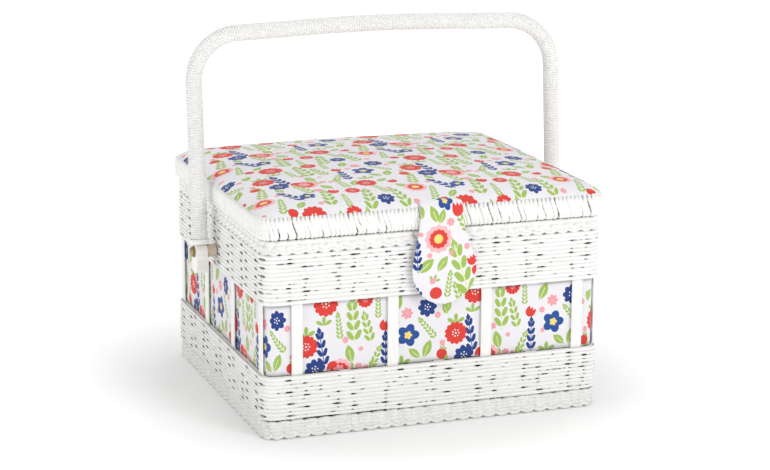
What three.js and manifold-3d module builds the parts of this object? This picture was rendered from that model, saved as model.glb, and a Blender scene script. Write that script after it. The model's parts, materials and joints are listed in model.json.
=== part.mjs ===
// Wicker sewing box with two lift-out trays, a padded hinged lid, a fold-down
// handle and a fabric clasp. Millimetres, +Z up. The origin is the centre of the
// footprint on the floor, +X runs along the front and +Y points to the back.

import * as THREE from "three";
import { mergeVertices } from "three/addons/utils/BufferGeometryUtils.js";
import Module from "manifold-3d";

const wasm = await Module();
wasm.setup();

// ---------------------------------------------------------------- driving sizes

// Basket
const bodyWidth = 320;
const bodyDepth = 290;
const cornerRadius = 14;
const footHeight = 17;
const lowerWeaveHeight = 40;
const bandHeight = 64;
const upperWeaveHeight = 44;
const rimBraidHeight = 12.6;

// Wall, from the outer face inwards
const outerCordDepth = 3.8;
const stakeThickness = 1.5;
const innerCordDepth = 3.1;
const bandThickness = 1.8;
const liningThickness = 2;

// Stakes
const stakeWidth = 10;
const stakeFoot = 4;
const stakesPerSide = 4;
const outerStakeFromFrontCorner = 28;
const outerStakeFromSideCorner = 16;

// Base
const baseBoardLift = 8;
const baseBoardThickness = 4;
const basePadThickness = 2;

// Lid
const lidOverhang = 2.7;
const lidRimHeight = 21.6;
const lidSeatGap = 0.8;
const rimWrapThickness = 3;
const rimFrameWidth = 11;
const lidBoardThickness = 3;
const lidBoardDrop = 7;
const cushionInset = 6;
const cushionEdge = 4;
const cushionCrown = 15;
const lidLiningThickness = 3;
const pocketSize = new THREE.Vector3(230, 75, 4);
const pincushionSize = new THREE.Vector3(110, 62, 6);
const lidPadSpread = 60;

// Lid hinges
const hingeSpacing = 170;
const hingeLength = 30;
const hingeLeafThickness = 1;
const hingeLeafHeight = 15;
const barrelRadius = 2.8;
const barrelStandOff = 1;
const barrelRise = 0.6;
const hingePinRadius = 1.1;
const hingePinClearance = 0.4;
const lidKnuckleLength = 12;

// Clasp
const claspCentre = 6;
const claspTopWidth = 42;
const claspWidth = 59;
const claspLength = 91;
const claspThickness = 6;
const claspStandOff = 0.6;
const claspAnchorThickness = 1.5;
const snapRadius = 7;
const snapThickness = 1;
const snapAboveTip = 34;

// Handle
const handleRise = 207;
const legStandOff = 15.2;
const handleDiameter = 15.4;
const handleCoreDiameter = 9;
const handleCornerRadius = 42;
const handleCrown = 4;
const handleLean = THREE.MathUtils.degToRad(5);
const pivotAboveBand = 17;
const wrapStart = 7;
const endBandHeight = 4;
const endBandThickness = 1;
const legEndThickness = 10;
const legEndWidth = 20;
const legEndDrop = 20;

// Pivot hardware
const screwRadius = 2;
const screwClearance = 0.5;
const screwHeadRadius = 4.6;
const screwHeadHeight = 2.6;
const washerRadius = 5.5;
const washerThickness = 0.8;
const spacerRadius = 6;
const nutPlateSize = 24;
const nutPlateThickness = 2;

// Trays
const trayHeight = 28;
const trayWall = 2;
const trayLip = 2;
const trayLipThickness = 1.6;
const trayCornerRadius = 7;
const trayTopBelowRim = 22.6;
const trayClearance = 1;
const trayRestHeight = 8;
const trayRestDepth = 8;
const scissorsColumnShare = 0.4;

// Clearance left between pieces that touch
const gap = 0.3;

// ---------------------------------------------------------------- worked-out places

const lowerWeaveTop = footHeight + lowerWeaveHeight;
const bandTop = lowerWeaveTop + bandHeight;
const upperWeaveTop = bandTop + upperWeaveHeight;
const basketTop = upperWeaveTop + rimBraidHeight;
const wallThickness = outerCordDepth + stakeThickness + 2 * gap + innerCordDepth;
const liningOuterInset = wallThickness + gap;
const liningInnerInset = liningOuterInset + liningThickness;
const bandInset = outerCordDepth + stakeThickness + 2 * gap;
const baseBoardTop = baseBoardLift + baseBoardThickness;
const liningBottom = baseBoardTop + gap;
const liningFloorTop = liningBottom + liningThickness;
const halfInnerWidth = bodyWidth / 2 - liningInnerInset;
const halfInnerDepth = bodyDepth / 2 - liningInnerInset;

const lidBottom = basketTop + lidSeatGap;
const lidTop = lidBottom + lidRimHeight;
const lidWidth = bodyWidth + 2 * lidOverhang;
const lidDepth = bodyDepth + 2 * lidOverhang;
const lidRadius = cornerRadius + lidOverhang;
const lidInnerInset = rimWrapThickness + rimFrameWidth;
const lidBoardTop = lidTop - lidBoardDrop;
const lidBoardBottom = lidBoardTop - lidBoardThickness;
const lidLiningBottom = lidBoardBottom - gap - lidLiningThickness;

const hingeY = lidDepth / 2 + barrelStandOff + barrelRadius;
const hingeZ = lidBottom + barrelRise;

const claspBackY = -(lidDepth / 2 + claspStandOff);
const claspAxisZ = lidTop + 2;
const claspTopZ = claspAxisZ + 1;
const claspTipZ = claspTopZ - claspLength;

const stakePitchAlongFront = (bodyWidth - 2 * outerStakeFromFrontCorner) / (stakesPerSide - 1);
const stakePitchAlongSide = (bodyDepth - 2 * outerStakeFromSideCorner) / (stakesPerSide - 1);
const pivotHeight = bandTop + pivotAboveBand;
const handleTop = pivotHeight + handleRise;
const handleLegCentre = bodyWidth / 2 + legStandOff;
const wrapBottom = pivotHeight + wrapStart;
const handleBarHeight = handleTop - handleDiameter / 2 - handleCrown;
const legEndOuterX = handleLegCentre + legEndThickness / 2;
const legEndInnerX = handleLegCentre - legEndThickness / 2;

const trayTop = basketTop - trayTopBelowRim;
const trayBottom = trayTop - trayHeight;
const trayOuterX = halfInnerWidth - gap - nutPlateThickness - trayClearance;
const trayOuterY = halfInnerDepth - trayClearance;
const trayInnerX = trayClearance;

// ---------------------------------------------------------------- materials

const surface = (color, roughness, metalness = 0) =>
  new THREE.MeshStandardMaterial({ color, roughness, metalness });

const paperCord = surface(0xf4f4f2, 0.75);
const flatCane = surface(0xf8f8f6, 0.55);
const printedCotton = surface(0xe6dbe4, 0.85);
const plainCotton = surface(0xf2efe9, 0.9);
const fibreBoard = surface(0xb99a72, 0.8);
const whiteWood = surface(0xf3f1ec, 0.5);
const brass = surface(0xc9a65a, 0.35, 1);
const hingeMetal = surface(0xd8d4c8, 0.35, 1);
const trayPlastic = surface(0xf0f2f4, 0.35);
const spacerPlastic = surface(0xe9e2d2, 0.45);

// ---------------------------------------------------------------- shape helpers

const curveSegments = 4;
const roundSegments = 12;
const handleSteps = 40;
const handleSegments = 5;

function roundedRectangle(PathClass, width, depth, radius) {
  const x = width / 2;
  const y = depth / 2;
  const r = Math.max(radius, 0.5);
  const outline = new PathClass();
  outline.moveTo(-x + r, -y);
  outline.absarc(x - r, -y + r, r, -Math.PI / 2, 0);
  outline.absarc(x - r, y - r, r, 0, Math.PI / 2);
  outline.absarc(-x + r, y - r, r, Math.PI / 2, Math.PI);
  outline.absarc(-x + r, -y + r, r, Math.PI, 1.5 * Math.PI);
  return outline;
}

// A rounded rectangle set in from a larger one on every side
function inset(size, amount, PathClass = THREE.Shape) {
  return roundedRectangle(
    PathClass,
    size.width - 2 * amount,
    size.depth - 2 * amount,
    size.radius - amount,
  );
}

const basketSize = { width: bodyWidth, depth: bodyDepth, radius: cornerRadius };
const lidSize = { width: lidWidth, depth: lidDepth, radius: lidRadius };

function ring(size, outerInset, innerInset) {
  const shape = inset(size, outerInset);
  shape.holes.push(inset(size, innerInset, THREE.Path));
  return shape;
}

function extrude(shape, bottom, top) {
  const geometry = new THREE.ExtrudeGeometry(shape, {
    depth: top - bottom,
    bevelEnabled: false,
    curveSegments,
  });
  return geometry.translate(0, 0, bottom);
}

// A block between two corners
function block(low, high) {
  const size = high.clone().sub(low);
  const centre = low.clone().add(high).multiplyScalar(0.5);
  return new THREE.BoxGeometry(size.x, size.y, size.z).translate(centre.x, centre.y, centre.z);
}

const point = (x, y, z) => new THREE.Vector3(x, y, z);

// A cylinder along X between two places
function rodAlongX(radius, fromX, toX, y, z) {
  const rod = new THREE.CylinderGeometry(radius, radius, toX - fromX, roundSegments);
  return rod.rotateZ(Math.PI / 2).translate((fromX + toX) / 2, y, z);
}

// A turned piece whose axis is X; each profile point is [place along X, radius]
function turnedAlongX(profile) {
  const points = profile.map(([along, radius]) => new THREE.Vector2(radius, along));
  return new THREE.LatheGeometry(points, roundSegments).rotateZ(-Math.PI / 2);
}

// A flat tube section turned about X
function washerAlongX(fromX, toX, innerRadius, outerRadius) {
  return turnedAlongX([
    [fromX, innerRadius],
    [fromX, outerRadius],
    [toX, outerRadius],
    [toX, innerRadius],
    [fromX, innerRadius],
  ]);
}

// A closed body through a stack of outlines with equal point counts
function loft(layers) {
  const count = layers[0].length;
  const positions = layers.flat().flatMap((p) => [p.x, p.y, p.z]);
  const faces = [];
  for (let level = 0; level + 1 < layers.length; level += 1) {
    for (let i = 0; i < count; i += 1) {
      const a = level * count + i;
      const b = level * count + ((i + 1) % count);
      faces.push(a, b, b + count, a, b + count, a + count);
    }
  }
  const capFaces = (layer) =>
    THREE.ShapeUtils.triangulateShape(layer.map((p) => new THREE.Vector2(p.x, p.y)), []);
  for (const [a, b, c] of capFaces(layers[0])) {
    faces.push(c, b, a);
  }
  const top = (layers.length - 1) * count;
  for (const [a, b, c] of capFaces(layers[layers.length - 1])) {
    faces.push(top + a, top + b, top + c);
  }
  const geometry = new THREE.BufferGeometry();
  geometry.setAttribute("position", new THREE.Float32BufferAttribute(positions, 3));
  geometry.setIndex(faces);
  return geometry;
}

// The points of a rounded rectangle at one height
function layer(size, amount, z) {
  const points = inset(size, amount).extractPoints(curveSegments).shape;
  const last = points[points.length - 1];
  if (last.distanceTo(points[0]) < 1e-6) {
    points.pop();
  }
  return points.map((p) => point(p.x, p.y, z));
}

// ---------------------------------------------------------------- cutting and joining

function solid(geometry) {
  const bare = geometry.clone();
  bare.deleteAttribute("normal");
  bare.deleteAttribute("uv");
  const merged = mergeVertices(bare, 1e-4);
  return new wasm.Manifold(
    new wasm.Mesh({
      numProp: 3,
      vertProperties: new Float32Array(merged.attributes.position.array),
      triVerts: new Uint32Array(merged.index.array),
    }),
  );
}

function geometryOf(manifold) {
  const mesh = manifold.getMesh();
  const geometry = new THREE.BufferGeometry();
  geometry.setAttribute("position", new THREE.Float32BufferAttribute(mesh.vertProperties, 3));
  geometry.setIndex(Array.from(mesh.triVerts));
  return geometry;
}

function join(...geometries) {
  return geometryOf(geometries.map(solid).reduce((a, b) => a.add(b)));
}

function cut(geometry, ...tools) {
  return geometryOf(tools.map(solid).reduce((a, b) => a.subtract(b), solid(geometry)));
}

// ---------------------------------------------------------------- assembly

const sewingBox = new THREE.Group();

function add(name, geometry, material, parent = sewingBox) {
  const mesh = new THREE.Mesh(geometry, material);
  mesh.name = name;
  parent.add(mesh);
  return mesh;
}

const sides = [
  { name: "right", turn: 0 },
  { name: "left", turn: Math.PI },
];

// ---------------------------------------------------------------- stakes

// Every upright stake: its name, its centre and the wall it stands in
function stakePlaces() {
  const places = [];
  const depthInWall = outerCordDepth + gap + stakeThickness / 2;
  const middle = (stakesPerSide - 1) / 2;
  for (let i = 0; i < stakesPerSide; i += 1) {
    const along = (i - middle) * stakePitchAlongFront;
    const across = bodyDepth / 2 - depthInWall;
    places.push({ name: `stake_front_${i + 1}`, x: along, y: -across, turned: false });
    places.push({ name: `stake_back_${i + 1}`, x: along, y: across, turned: false });
  }
  for (let i = 0; i < stakesPerSide; i += 1) {
    const along = (i - middle) * stakePitchAlongSide;
    const across = bodyWidth / 2 - depthInWall;
    places.push({ name: `stake_left_${i + 1}`, x: -across, y: along, turned: true });
    places.push({ name: `stake_right_${i + 1}`, x: across, y: along, turned: true });
  }
  return places;
}

function stakeHalfSize(turned) {
  return turned
    ? { x: stakeThickness / 2, y: stakeWidth / 2 }
    : { x: stakeWidth / 2, y: stakeThickness / 2 };
}

function addStakes() {
  for (const { name, x, y, turned } of stakePlaces()) {
    const half = stakeHalfSize(turned);
    const length = upperWeaveTop - stakeFoot;
    const strip = new THREE.BoxGeometry(2 * half.x, 2 * half.y, length);
    add(name, strip, flatCane).position.set(x, y, stakeFoot + length / 2);
  }
}

// The channel through a woven ring that a stake passes through
function stakeChannel({ x, y, turned }, bottom, top) {
  const half = stakeHalfSize(turned);
  const low = point(x - half.x - gap, y - half.y - gap, bottom - 1);
  const high = point(x + half.x + gap, y + half.y + gap, top + 1);
  return block(low, high);
}

// ---------------------------------------------------------------- basket walls

function wovenRing(bottom, top) {
  const channels = stakePlaces().map((place) => stakeChannel(place, bottom, top));
  return cut(extrude(ring(basketSize, 0, wallThickness), bottom, top), ...channels);
}

function footRing() {
  const channels = stakePlaces().map((place) => stakeChannel(place, stakeFoot, footHeight));
  return cut(extrude(ring(basketSize, 0, wallThickness), 0, footHeight), ...channels);
}

function pivotHole() {
  const reach = handleLegCentre;
  return rodAlongX(screwRadius + screwClearance, -reach, reach, 0, pivotHeight);
}

function addWalls() {
  add("foot_braid", footRing(), paperCord);
  add("lower_weave", wovenRing(footHeight + gap, lowerWeaveTop), paperCord);
  add("upper_weave", cut(wovenRing(bandTop, upperWeaveTop), pivotHole()), paperCord);
  const rimBottom = upperWeaveTop + gap;
  add("rim_braid", extrude(ring(basketSize, 0, wallThickness), rimBottom, basketTop), paperCord);
  const band = ring(basketSize, bandInset, bandInset + bandThickness);
  add("fabric_band", extrude(band, lowerWeaveTop + gap, bandTop - gap), printedCotton);
}

function addBase() {
  const board = inset(basketSize, liningOuterInset);
  add("base_board", extrude(board, baseBoardLift, baseBoardTop), fibreBoard);
  const pad = inset(basketSize, liningInnerInset + gap);
  const padBottom = liningFloorTop + gap;
  add("base_pad", extrude(pad, padBottom, padBottom + basePadThickness), plainCotton);
}

function addLining() {
  const outside = extrude(inset(basketSize, liningOuterInset), liningBottom, basketTop - gap);
  const inside = extrude(inset(basketSize, liningInnerInset), liningFloorTop, basketTop + gap);
  add("lining", cut(outside, inside, pivotHole()), plainCotton);
}

function addTrayRests() {
  const restTop = trayBottom - gap;
  const halfLength = halfInnerWidth - cornerRadius;
  for (const [name, side] of [["front", -1], ["back", 1]]) {
    const wallY = side * (halfInnerDepth - gap);
    const edgeY = wallY - side * trayRestDepth;
    const low = point(-halfLength, Math.min(wallY, edgeY), restTop - trayRestHeight);
    const high = point(halfLength, Math.max(wallY, edgeY), restTop);
    add(`tray_rest_${name}`, block(low, high), whiteWood);
  }
}

// ---------------------------------------------------------------- handle

// Centre line of the handle: up one leg, across the bar and down the other
class HandleLine extends THREE.Curve {
  getPoint(t, target = new THREE.Vector3()) {
    const leg = handleBarHeight - handleCornerRadius - wrapBottom;
    const corner = (Math.PI / 2) * handleCornerRadius;
    const halfBar = handleLegCentre - handleCornerRadius;
    const halfLength = leg + corner + halfBar;
    const along = t * 2 * halfLength;
    const side = along < halfLength ? -1 : 1;
    const fromFoot = side < 0 ? along : 2 * halfLength - along;
    let x = handleLegCentre;
    let z = wrapBottom + fromFoot;
    if (fromFoot > leg + corner) {
      x = halfBar - (fromFoot - leg - corner);
      z = handleBarHeight;
    } else if (fromFoot > leg) {
      const angle = (fromFoot - leg) / handleCornerRadius;
      x = halfBar + handleCornerRadius * Math.cos(angle);
      z = handleBarHeight + handleCornerRadius * (Math.sin(angle) - 1);
    }
    const crown = handleCrown * Math.cos((Math.PI * x) / (2 * handleLegCentre)) ** 2;
    return target.set(side * x, 0, z + crown);
  }
}

function disc(PathClass, radius) {
  return new PathClass().absarc(0, 0, radius, 0, 2 * Math.PI);
}

function alongHandle(shape) {
  return new THREE.ExtrudeGeometry(shape, {
    steps: handleSteps,
    curveSegments: handleSegments,
    extrudePath: new HandleLine(),
  });
}

// The flattened, unwrapped end of one leg, with its screw hole
function legEnd() {
  const half = legEndWidth / 2;
  const neck = handleCoreDiameter / 2 + 1;
  const top = wrapStart - gap;
  const outline = new THREE.Shape();
  outline.absarc(0, half - legEndDrop, half, Math.PI, 2 * Math.PI);
  outline.lineTo(half, top - 4);
  outline.lineTo(neck, top);
  outline.lineTo(-neck, top);
  outline.lineTo(-half, top - 4);
  outline.closePath();
  outline.holes.push(disc(THREE.Path, screwRadius + screwClearance));
  const plate = new THREE.ExtrudeGeometry(outline, {
    depth: legEndThickness,
    bevelEnabled: false,
    curveSegments: 6,
  });
  plate.applyMatrix4(
    new THREE.Matrix4().makeBasis(point(0, 1, 0), point(0, 0, 1), point(1, 0, 0)),
  );
  return plate.translate(legEndInnerX, 0, pivotHeight);
}

// The handle stands leaning back a little about its two screws
function addHandle() {
  const leaning = new THREE.Group();
  leaning.position.z = pivotHeight;
  leaning.rotation.x = -handleLean;
  sewingBox.add(leaning);
  const upright = new THREE.Group();
  upright.position.z = -pivotHeight;
  leaning.add(upright);

  const coreRadius = handleCoreDiameter / 2;
  const sleeve = disc(THREE.Shape, handleDiameter / 2);
  sleeve.holes.push(disc(THREE.Path, coreRadius + gap));
  add("handle_wrap", alongHandle(sleeve), paperCord, upright);

  const pegLength = 2 * (wrapStart - screwRadius - screwClearance - 2);
  const peg = new THREE.CylinderGeometry(coreRadius - gap, coreRadius - gap, pegLength, 12);
  peg.rotateX(Math.PI / 2).translate(handleLegCentre, 0, wrapBottom);
  const legs = [legEnd(), peg];
  const pieces = legs.concat(legs.map((piece) => piece.clone().rotateZ(Math.PI)));
  const core = join(alongHandle(disc(THREE.Shape, coreRadius)), ...pieces);
  add("handle_core", core, whiteWood, upright);

  const inner = handleDiameter / 2 + gap;
  const outer = inner + endBandThickness;
  const section = [
    new THREE.Vector2(inner, 0),
    new THREE.Vector2(outer, 0),
    new THREE.Vector2(outer, endBandHeight),
    new THREE.Vector2(inner, endBandHeight),
    new THREE.Vector2(inner, 0),
  ];
  for (const { name, turn } of sides) {
    const holder = new THREE.Group();
    holder.rotation.z = turn;
    upright.add(holder);
    const band = new THREE.LatheGeometry(section, roundSegments).rotateX(Math.PI / 2);
    add(`handle_end_band_${name}`, band, flatCane, holder).position.set(
      handleLegCentre, 0, wrapBottom + gap,
    );
  }
}

// ---------------------------------------------------------------- pivots

function addPivots() {
  const wallX = bodyWidth / 2;
  const washerStart = legEndOuterX + gap;
  const headStart = washerStart + washerThickness + gap;
  const plateOuter = halfInnerWidth - gap;
  const plateInner = plateOuter - nutPlateThickness;
  const shank = screwRadius;
  const bore = screwRadius + screwClearance;
  for (const { name, turn } of sides) {
    const pivot = new THREE.Group();
    pivot.position.z = pivotHeight;
    pivot.rotation.z = turn;
    sewingBox.add(pivot);
    const screw = turnedAlongX([
      [plateInner, 0],
      [plateInner, shank],
      [headStart, shank],
      [headStart, screwHeadRadius],
      [headStart + 0.4 * screwHeadHeight, screwHeadRadius],
      [headStart + 0.8 * screwHeadHeight, 0.7 * screwHeadRadius],
      [headStart + screwHeadHeight, 0.3 * screwHeadRadius],
      [headStart + screwHeadHeight, 0],
    ]);
    add(`pivot_screw_${name}`, screw, brass, pivot);
    const washer = washerAlongX(washerStart, washerStart + washerThickness, bore, washerRadius);
    add(`pivot_washer_${name}`, washer, brass, pivot);
    const spacer = washerAlongX(wallX + gap, legEndInnerX - gap, bore, spacerRadius);
    add(`pivot_spacer_${name}`, spacer, spacerPlastic, pivot);
    const half = nutPlateSize / 2;
    const plate = block(point(plateInner, -half, -half), point(plateOuter, half, half));
    const drill = rodAlongX(bore, plateInner - 1, plateOuter + 1, 0, 0);
    add(`pivot_nut_plate_${name}`, cut(plate, drill), hingeMetal, pivot);
  }
}

// ---------------------------------------------------------------- lid

function addLid() {
  const wrapBlock = extrude(ring(lidSize, 0, lidInnerInset), lidBottom, lidTop);
  const channel = extrude(
    ring(lidSize, rimWrapThickness, lidInnerInset + 1),
    lidBottom + rimWrapThickness,
    lidTop - rimWrapThickness,
  );
  add("lid_rim_wrap", cut(wrapBlock, channel), paperCord);
  const frame = extrude(
    ring(lidSize, rimWrapThickness + gap, lidInnerInset),
    lidBottom + rimWrapThickness + gap,
    lidTop - rimWrapThickness - gap,
  );
  add("lid_frame", frame, whiteWood);
  const board = extrude(inset(lidSize, lidInnerInset + gap), lidBoardBottom, lidBoardTop);
  add("lid_board", board, fibreBoard);
  add("lid_cushion", cushion(), printedCotton);
  const lining = inset(lidSize, lidInnerInset + gap);
  add("lid_lining", extrude(lining, lidLiningBottom, lidBoardBottom - gap), plainCotton);
}

// The padded top: a plug inside the rim, a short edge and a crowned top
function cushion() {
  const plugInset = lidInnerInset + gap;
  const seat = lidTop + gap;
  const layers = [layer(lidSize, plugInset, lidBoardTop + gap), layer(lidSize, plugInset, seat)];
  layers.push(layer(lidSize, cushionInset, seat));
  const steps = 5;
  const reach = Math.min(lidWidth, lidDepth) / 2 - cushionInset;
  for (let i = 0; i <= steps; i += 1) {
    const inwards = (i / steps) ** 2;
    const rise = cushionEdge + (cushionCrown - cushionEdge) * Math.sqrt(1 - (1 - inwards) ** 2);
    layers.push(layer(lidSize, cushionInset + 0.7 * reach * inwards, seat + rise));
  }
  return loft(layers);
}

// A soft pad hung under the lid with its lower edge drawn in
function lidPad(size, centreY) {
  const top = lidLiningBottom - gap;
  const outline = { width: size.x, depth: size.y, radius: 8 };
  const layers = [
    layer(outline, 3, top - size.z),
    layer(outline, 0, top - size.z / 2),
    layer(outline, 0.5, top),
  ];
  return loft(layers).translate(0, centreY, 0);
}

function addLidPads() {
  add("lid_pocket", lidPad(pocketSize, -lidPadSpread), plainCotton);
  add("lid_pincushion", lidPad(pincushionSize, lidPadSpread), printedCotton);
}

// ---------------------------------------------------------------- lid hinges

function barrel(fromX, toX) {
  return washerAlongX(fromX, toX, hingePinRadius + hingePinClearance, barrelRadius)
    .translate(0, hingeY, hingeZ);
}

// The leaf screwed to the back wall, with a knuckle at each end
function basketLeaf() {
  const half = hingeLength / 2;
  const knuckle = (hingeLength - lidKnuckleLength) / 2 - gap;
  const face = bodyDepth / 2 + gap;
  const webTop = lidBottom - gap;
  const webBottom = webTop - 1.8;
  const pinHole = rodAlongX(hingePinRadius + hingePinClearance, -hingeLength, hingeLength,
    hingeY, hingeZ);
  const plate = block(
    point(-half, face, webTop - hingeLeafHeight),
    point(half, face + hingeLeafThickness, webTop),
  );
  const ends = [-half, half - knuckle].flatMap((start) => [
    block(point(start, face, webBottom), point(start + knuckle, hingeY, webTop)),
    barrel(start, start + knuckle),
  ]);
  return cut(join(plate, ...ends), pinHole);
}

// The leaf screwed to the lid's rim, with one knuckle in the middle
function lidLeaf() {
  const half = hingeLength / 2;
  const knuckle = lidKnuckleLength / 2;
  const face = lidDepth / 2 + gap;
  const neckTop = hingeZ + barrelRadius + 2 * gap;
  const pinHole = rodAlongX(hingePinRadius + hingePinClearance, -hingeLength, hingeLength,
    hingeY, hingeZ);
  const plate = block(
    point(-half, face, neckTop),
    point(half, face + hingeLeafThickness, neckTop + hingeLeafHeight - 1),
  );
  const neck = block(
    point(-knuckle, face, hingeZ),
    point(knuckle, hingeY - hingePinRadius, neckTop + 1),
  );
  return cut(join(plate, neck, barrel(-knuckle, knuckle)), pinHole);
}

function addHinges() {
  for (const [name, side] of [["left", -1], ["right", 1]]) {
    const x = (side * hingeSpacing) / 2;
    add(`hinge_basket_leaf_${name}`, basketLeaf(), hingeMetal).position.x = x;
    add(`hinge_lid_leaf_${name}`, lidLeaf(), hingeMetal).position.x = x;
    const pin = rodAlongX(hingePinRadius, -hingeLength / 2, hingeLength / 2, hingeY, hingeZ);
    add(`hinge_pin_${name}`, pin, hingeMetal).position.x = x;
  }
}

// ---------------------------------------------------------------- clasp

// Outline of the tab, hung from its axis: narrow at the top, full and round below
function claspOutline() {
  const top = claspTopZ;
  const belly = claspTipZ + claspWidth / 2;
  const halfTop = claspTopWidth / 2;
  const half = claspWidth / 2;
  const flare = (top - belly) / 2;
  const outline = new THREE.Shape();
  outline.moveTo(halfTop, top);
  outline.lineTo(-halfTop, top);
  outline.bezierCurveTo(-halfTop, top - flare, -half, belly + flare, -half, belly);
  outline.absarc(0, belly, half, Math.PI, 2 * Math.PI);
  outline.bezierCurveTo(half, belly + flare, halfTop, top - flare, halfTop, top);
  return outline;
}

// A shape drawn in X and Z, given a thickness towards the front from a plane
function standingPlate(shape, backY, thickness) {
  const plate = new THREE.ExtrudeGeometry(shape, {
    depth: thickness,
    bevelEnabled: false,
    curveSegments: 8,
  });
  return plate.rotateX(Math.PI / 2).translate(claspCentre, backY, 0);
}

function addClasp() {
  add("clasp_tab", standingPlate(claspOutline(), claspBackY, claspThickness), printedCotton);

  const snapZ = claspTipZ + snapAboveTip;
  const snapDisc = (centreZ) =>
    new THREE.Shape().absarc(0, centreZ, snapRadius, 0, 2 * Math.PI);
  const snapBack = claspBackY + gap + snapThickness;
  add("clasp_snap", standingPlate(snapDisc(snapZ), snapBack, snapThickness), hingeMetal);
  const studBack = -(bodyDepth / 2 + gap);
  add("clasp_stud", standingPlate(snapDisc(snapZ), studBack, snapThickness), hingeMetal);

  const anchorFront = -lidDepth / 2;
  const anchorBack = anchorFront + cushionInset - gap;
  const half = claspTopWidth / 2;
  const low = point(claspCentre - half, anchorFront, lidTop + gap);
  const high = point(claspCentre + half, anchorBack, lidTop + gap + claspAnchorThickness);
  add("clasp_anchor", block(low, high), printedCotton);
}

// ---------------------------------------------------------------- trays

// Rows and columns of pockets between two corners, with walls between them
function pockets(lowX, highX, lowY, highY, columns, rows) {
  const width = (highX - lowX - (columns - 1) * trayWall) / columns;
  const depth = (highY - lowY - (rows - 1) * trayWall) / rows;
  const cutters = [];
  for (let column = 0; column < columns; column += 1) {
    for (let row = 0; row < rows; row += 1) {
      const shape = roundedRectangle(THREE.Shape, width, depth, trayCornerRadius - trayWall);
      const pocket = extrude(shape, trayBottom + trayWall, trayTop + 1);
      const x = lowX + width / 2 + column * (width + trayWall);
      const y = lowY + depth / 2 + row * (depth + trayWall);
      cutters.push(pocket.translate(x, y, 0));
    }
  }
  return cutters;
}

function tray(layout) {
  const width = trayOuterX - trayInnerX;
  const depth = 2 * trayOuterY;
  const lipShape = roundedRectangle(THREE.Shape, width, depth, trayCornerRadius);
  const tubShape = roundedRectangle(
    THREE.Shape, width - 2 * trayLip, depth - 2 * trayLip, trayCornerRadius - trayLip,
  );
  const tub = extrude(tubShape, trayBottom, trayTop);
  const lip = extrude(lipShape, trayTop - trayLipThickness, trayTop);
  const margin = trayLip + trayWall;
  const halfWidth = width / 2 - margin;
  const halfDepth = depth / 2 - margin;
  return cut(join(tub, lip), ...layout(halfWidth, halfDepth));
}

const evenPockets = (halfWidth, halfDepth) =>
  pockets(-halfWidth, halfWidth, -halfDepth, halfDepth, 2, 3);

const scissorsAndReelPockets = (halfWidth, halfDepth) => {
  const divider = -halfWidth + 2 * halfWidth * scissorsColumnShare;
  return [
    ...pockets(-halfWidth, divider, -halfDepth, halfDepth, 1, 1),
    ...pockets(divider + trayWall, halfWidth, -halfDepth, halfDepth, 1, 4),
  ];
};

function addTrays() {
  const centreX = (trayOuterX + trayInnerX) / 2;
  add("tray_left", tray(evenPockets), trayPlastic).position.x = -centreX;
  add("tray_right", tray(scissorsAndReelPockets), trayPlastic).position.x = centreX;
}

// ---------------------------------------------------------------- the whole box

addBase();
addWalls();
addStakes();
addLining();
addTrayRests();
addHandle();
addPivots();
addLid();
addLidPads();
addHinges();
addClasp();
addTrays();

export default sewingBox;
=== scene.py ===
"""Sewing box with trays: woven cord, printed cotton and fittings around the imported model."""

import json
import math

import bmesh
import bpy
import numpy as np
from mathutils import Matrix, Vector

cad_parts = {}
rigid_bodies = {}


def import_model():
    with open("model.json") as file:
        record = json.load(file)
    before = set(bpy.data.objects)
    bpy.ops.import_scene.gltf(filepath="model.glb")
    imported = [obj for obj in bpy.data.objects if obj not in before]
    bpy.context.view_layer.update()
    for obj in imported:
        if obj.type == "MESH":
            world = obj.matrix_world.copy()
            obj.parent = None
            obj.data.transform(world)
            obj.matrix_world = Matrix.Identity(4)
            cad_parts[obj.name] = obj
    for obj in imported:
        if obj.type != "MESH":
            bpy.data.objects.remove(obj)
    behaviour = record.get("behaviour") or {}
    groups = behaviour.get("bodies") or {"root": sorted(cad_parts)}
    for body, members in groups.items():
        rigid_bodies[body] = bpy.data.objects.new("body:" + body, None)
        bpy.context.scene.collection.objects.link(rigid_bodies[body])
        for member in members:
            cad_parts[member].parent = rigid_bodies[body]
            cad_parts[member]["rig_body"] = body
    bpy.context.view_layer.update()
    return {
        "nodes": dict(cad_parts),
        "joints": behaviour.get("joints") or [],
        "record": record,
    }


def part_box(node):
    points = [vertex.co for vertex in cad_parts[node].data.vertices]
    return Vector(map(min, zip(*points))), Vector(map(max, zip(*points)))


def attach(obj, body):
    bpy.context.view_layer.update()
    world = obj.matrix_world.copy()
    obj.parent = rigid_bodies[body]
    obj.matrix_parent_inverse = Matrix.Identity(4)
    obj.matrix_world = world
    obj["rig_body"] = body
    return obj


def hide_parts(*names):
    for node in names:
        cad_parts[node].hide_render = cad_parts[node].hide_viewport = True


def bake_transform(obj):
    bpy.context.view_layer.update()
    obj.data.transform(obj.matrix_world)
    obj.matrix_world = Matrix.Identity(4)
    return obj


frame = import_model()

MM = 0.001
rng = np.random.default_rng(7)

# ---------------- sizes, from the frame

BODY_LOW, BODY_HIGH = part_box("upper_weave")
LID_LOW, LID_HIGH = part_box("lid_rim_wrap")
FOOT_LOW, FOOT_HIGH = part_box("foot_braid")
LOWER_LOW, LOWER_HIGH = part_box("lower_weave")
RIM_LOW, RIM_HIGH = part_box("rim_braid")
CORNER = 14 * MM
LID_CORNER = 16.7 * MM

CORD = 1.9 * MM
CORD_TWIST = 8.5 * MM
FRONT_PITCH = 44 * MM
SIDE_PITCH = 43 * MM
FRONT_SHIFT = 4.2 * MM
BAND_DEPTH = 5.6 * MM


# ---------------- outline of the box

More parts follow.
